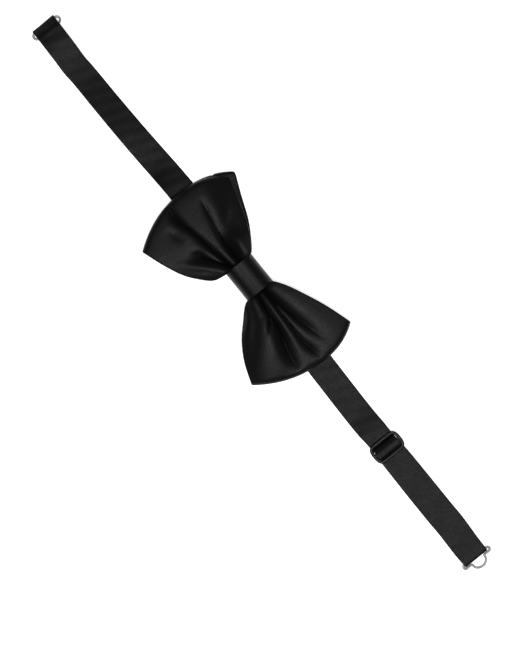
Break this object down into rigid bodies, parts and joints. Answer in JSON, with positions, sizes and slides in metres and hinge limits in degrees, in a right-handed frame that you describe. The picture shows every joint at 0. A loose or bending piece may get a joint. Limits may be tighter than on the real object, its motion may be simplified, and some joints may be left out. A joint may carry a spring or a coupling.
{
  "type": "bow tie",
  "caption": "Ready-tied satin bow on a flat neck band with a slider that sets its length and a wire hook and eye that close it at the back of the neck.",
  "frame": {"origin": "middle of the knot's back face, on the surface that the tie lies on", "axes": "+X along the band towards the eye, +Y up the bow as it is worn, +Z out of the front of the bow"},
  "size_m": [0.3993, 0.0688, 0.0127],
  "materials": {
    "satin": "soft satin sheen, fine weave",
    "interlining": "matt felted interlining",
    "thread": "dull sewing thread",
    "slider_plastic": "gloss black",
    "wire": "bright nickel-plated wire"
  },
  "bodies": {
    "bow": {"bow_satin": "satin", "bow_interlining": "interlining", "waist_binding": "thread", "knot_padding": "interlining", "knot_wrap": "satin", "knot_seam_stitch": "thread", "band_hook_side": "satin", "hook_bar_tack": "thread", "band_eye_side": "satin", "band_joint_tack": "thread"},
    "slider_and_bar_bands": {"slider": "slider_plastic", "band_over_bar": "satin", "band_anchor_fold": "satin", "slider_bar_tack": "thread", "loop_front": "satin", "loop_back": "satin"},
    "loop_end": {"eye_fold": "satin"},
    "eye_wire": {"eye": "wire"},
    "hook_wire": {"hook": "wire"}
  },
  "joints": [
    {"name": "slider_slide", "type": "slide", "parent": "bow", "child": "slider_and_bar_bands", "axis": [1, 0, 0], "range_m": [-0.05, 0.06], "deforming": ["band_eye_side"]},
    {"name": "loop_end_slide", "type": "slide", "parent": "slider_and_bar_bands", "child": "loop_end", "axis": [1, 0, 0], "range_m": [-0.03, 0.025], "deforming": ["loop_front", "loop_back"]},
    {"name": "eye_swing", "type": "hinge", "parent": "loop_end", "child": "eye_wire", "pos_m": [0.2046, 0, 0.0016], "axis": [0, 1, 0], "range_deg": [-115, 100]},
    {"name": "hook_swing", "type": "hinge", "parent": "bow", "child": "hook_wire", "pos_m": [-0.1854, 0, 0.00165], "axis": [0, 1, 0], "range_deg": [0, 270]}
  ],
  "couplings": [
    {"joint": "loop_end_slide", "follows": "slider_slide", "ratio": -0.5}
  ]
}
